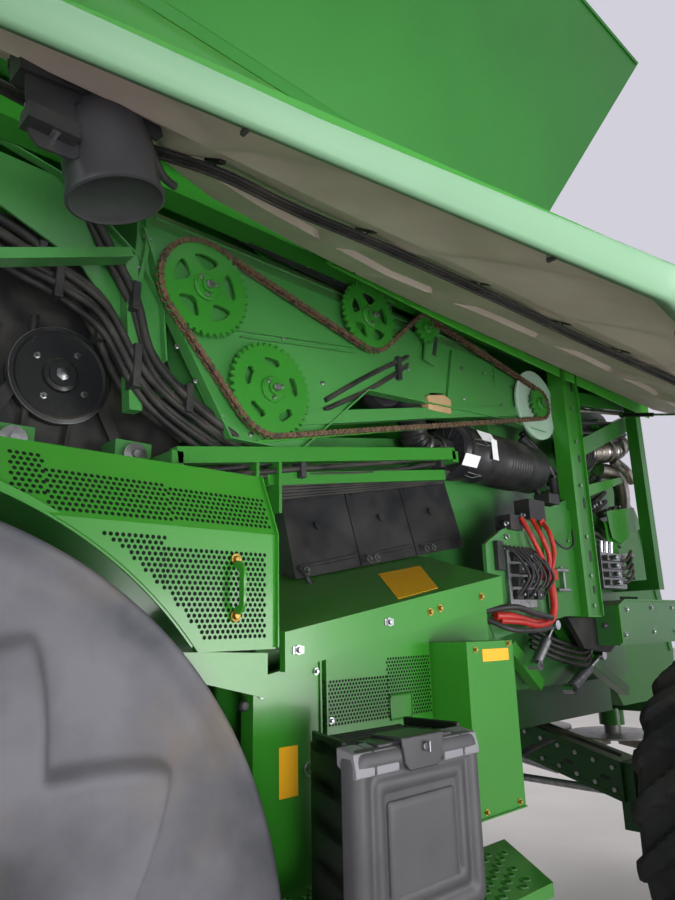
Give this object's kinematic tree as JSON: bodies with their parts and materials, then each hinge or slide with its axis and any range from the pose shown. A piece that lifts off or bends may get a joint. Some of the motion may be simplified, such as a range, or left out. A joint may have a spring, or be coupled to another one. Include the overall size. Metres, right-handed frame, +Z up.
{
  "type": "combine harvester",
  "caption": "Self-propelled combine harvester with an inclined rotor body, open side shield, grain tank, folded unloading auger, cab, feeder house and steered rear axle.",
  "frame": {"origin": "on the ground under the middle of the whole machine", "axes": "+X forward, +Y to the left side, +Z up"},
  "size_m": [8.15, 5.1283, 4.7032],
  "materials": {
    "body_paint": "gloss",
    "frame_paint": "satin",
    "rim_paint": "gloss",
    "tyre": "matt, dusty",
    "black_plastic": "matt",
    "black_steel": "satin",
    "steel": "satin",
    "chrome": "polished",
    "chain_steel": "rusty",
    "engine_iron": "rough",
    "cloth": "woven",
    "glass": "clear"
  },
  "bodies": {
    "chassis": {"air_cleaner": "black_plastic", "auger_foot": "body_paint", "belt_drive": "black_steel", "cab_glass": "glass", "cab_interior": "black_plastic", "cab_mirrors": "black_plastic", "cab_roof": "body_paint", "cab_shell": "body_paint", "cooling_screen": "body_paint", "drive_case": "body_paint", "drive_chain": "chain_steel", "drive_sprockets": "body_paint", "engine": "engine_iron", "engine_hood": "body_paint", "frame_rails": "frame_paint", "front_axle": "frame_paint", "front_platform": "frame_paint", "fuel_tank": "black_plastic", "grain_tank": "body_paint", "guard_panels": "body_paint", "rear_axle": "frame_paint", "rear_hood": "body_paint", "separator_body": "body_paint", "separator_covers": "black_plastic", "side_doors": "body_paint", "sloped_shelves": "body_paint", "step_platform": "body_paint", "straw_chopper": "steel", "tank_curtains": "cloth", "toolbox": "black_plastic", "upper_frame": "body_paint"},
    "front_wheel_left": {"tyre_front_left": "tyre", "rim_front_left": "rim_paint"},
    "front_wheel_right": {"tyre_front_right": "tyre", "rim_front_right": "rim_paint"},
    "rear_wheel_left": {"tyre_rear_left": "tyre", "rim_rear_left": "rim_paint"},
    "rear_wheel_right": {"tyre_rear_right": "tyre", "rim_rear_right": "rim_paint"},
    "steering_left": {"knuckle_left": "frame_paint"},
    "steering_right": {"knuckle_right": "frame_paint"},
    "tie_rod": {"tie_rod": "steel"},
    "side_shield_left": {"shield_left": "body_paint"},
    "side_shield_right": {"shield_right": "body_paint"},
    "strut_barrel": {"strut_barrel": "black_steel"},
    "strut_rod": {"strut_rod": "chrome"},
    "tank_flap_left": {"tank_flap_left": "body_paint"},
    "tank_flap_right": {"tank_flap_right": "body_paint"},
    "unloading_auger": {"unloading_auger": "body_paint"},
    "cab_door": {"cab_door": "body_paint", "cab_door_glass": "glass"},
    "feeder_house": {"feeder_house": "body_paint"},
    "lift_barrels": {"lift_barrels": "black_steel"},
    "lift_rods": {"lift_rods": "chrome"},
    "toolbox_lid": {"toolbox_lid": "black_plastic"},
    "spreader_left": {"spreader_left": "steel"},
    "spreader_right": {"spreader_right": "steel"}
  },
  "joints": [
    {"name": "front_wheel_left_spin", "type": "hinge", "parent": "chassis", "child": "front_wheel_left", "pos_m": [1.435, 1.425, 1], "axis": [0, 1, 0], "continuous": true},
    {"name": "front_wheel_right_spin", "type": "hinge", "parent": "chassis", "child": "front_wheel_right", "pos_m": [1.435, -1.425, 1], "axis": [0, 1, 0], "continuous": true},
    {"name": "steering_left_turn", "type": "hinge", "parent": "chassis", "child": "steering_left", "pos_m": [-2.365, 1.25, 0.775], "axis": [0, 0, 1], "range_deg": [-40, 40]},
    {"name": "steering_right_turn", "type": "hinge", "parent": "chassis", "child": "steering_right", "pos_m": [-2.365, -1.25, 0.775], "axis": [0, 0, 1], "range_deg": [-40, 40]},
    {"name": "tie_rod_turn", "type": "hinge", "parent": "steering_left", "child": "tie_rod", "pos_m": [-2.595, 1.25, 0.766], "axis": [0, 0, 1], "range_deg": [-41, 41]},
    {"name": "rear_wheel_left_spin", "type": "hinge", "parent": "steering_left", "child": "rear_wheel_left", "pos_m": [-2.365, 1.72, 0.775], "axis": [0, 1, 0], "continuous": true},
    {"name": "rear_wheel_right_spin", "type": "hinge", "parent": "steering_right", "child": "rear_wheel_right", "pos_m": [-2.365, -1.72, 0.775], "axis": [0, 1, 0], "continuous": true},
    {"name": "side_shield_left_swing", "type": "hinge", "parent": "chassis", "child": "side_shield_left", "pos_m": [1.435, 1.345, 3.066], "axis": [-1, 0, 0], "range_deg": [0, 52.9]},
    {"name": "strut_barrel_swing", "type": "hinge", "parent": "chassis", "child": "strut_barrel", "pos_m": [-2.655, 1.22, 2.99], "axis": [-1, 0, 0], "range_deg": [-2, 42.43]},
    {"name": "strut_rod_slide", "type": "slide", "parent": "strut_barrel", "child": "strut_rod", "axis": [0, 0.9733, -0.2296], "range_m": [-0.1244, 0.005]},
    {"name": "side_shield_right_swing", "type": "hinge", "parent": "chassis", "child": "side_shield_right", "pos_m": [1.435, -1.345, 3.066], "axis": [-1, 0, 0], "range_deg": [0, 52.9]},
    {"name": "tank_flap_left_fold", "type": "hinge", "parent": "chassis", "child": "tank_flap_left", "pos_m": [1.435, 1.412, 3.618], "axis": [1, 0, 0], "range_deg": [0, 110.58], "deforming": ["tank_curtains"]},
    {"name": "tank_flap_right_fold", "type": "hinge", "parent": "chassis", "child": "tank_flap_right", "pos_m": [1.435, -1.412, 3.618], "axis": [-1, 0, 0], "range_deg": [0, 110.58]},
    {"name": "unloading_auger_swing", "type": "hinge", "parent": "chassis", "child": "unloading_auger", "pos_m": [1.565, 1.47, 3.27], "axis": [0, 0, -1], "range_deg": [0, 95]},
    {"name": "cab_door_swing", "type": "hinge", "parent": "chassis", "child": "cab_door", "pos_m": [2.375, 0.952, 2.6], "axis": [0, 0, 1], "range_deg": [0, 75]},
    {"name": "feeder_house_lift", "type": "hinge", "parent": "chassis", "child": "feeder_house", "pos_m": [1.955, 0, 1.65], "axis": [0, -1, 0], "range_deg": [-12, 14]},
    {"name": "lift_barrel_swing", "type": "hinge", "parent": "chassis", "child": "lift_barrels", "pos_m": [1.635, 0, 0.8], "axis": [0, -1, 0], "range_deg": [-7.66, 8.78]},
    {"name": "lift_rod_slide", "type": "slide", "parent": "lift_barrels", "child": "lift_rods", "axis": [0.9751, 0, 0.2216], "range_m": [-0.161, 0.1872]},
    {"name": "toolbox_lid_open", "type": "hinge", "parent": "chassis", "child": "toolbox_lid", "pos_m": [0.235, 1.886, 1.09], "axis": [-1, 0, 0], "range_deg": [0, 90]},
    {"name": "spreader_left_spin", "type": "hinge", "parent": "chassis", "child": "spreader_left", "pos_m": [-3.745, 0.36, 0.9], "axis": [0, 0, 1], "continuous": true},
    {"name": "spreader_right_spin", "type": "hinge", "parent": "chassis", "child": "spreader_right", "pos_m": [-3.745, -0.36, 0.9], "axis": [0, 0, 1], "continuous": true}
  ],
  "couplings": [
    {"joint": "steering_right_turn", "follows": "steering_left_turn", "ratio": 1},
    {"joint": "tie_rod_turn", "follows": "steering_left_turn", "ratio": -1},
    {"joint": "strut_barrel_swing", "follows": "side_shield_left_swing", "ratio": 0.76427},
    {"joint": "strut_rod_slide", "follows": "side_shield_left_swing", "m_per_rad": -0.12393},
    {"joint": "tank_flap_right_fold", "follows": "tank_flap_left_fold", "ratio": 1},
    {"joint": "lift_barrel_swing", "follows": "feeder_house_lift", "ratio": 0.55537},
    {"joint": "lift_rod_slide", "follows": "feeder_house_lift", "m_per_rad": 0.74967}
  ]
}
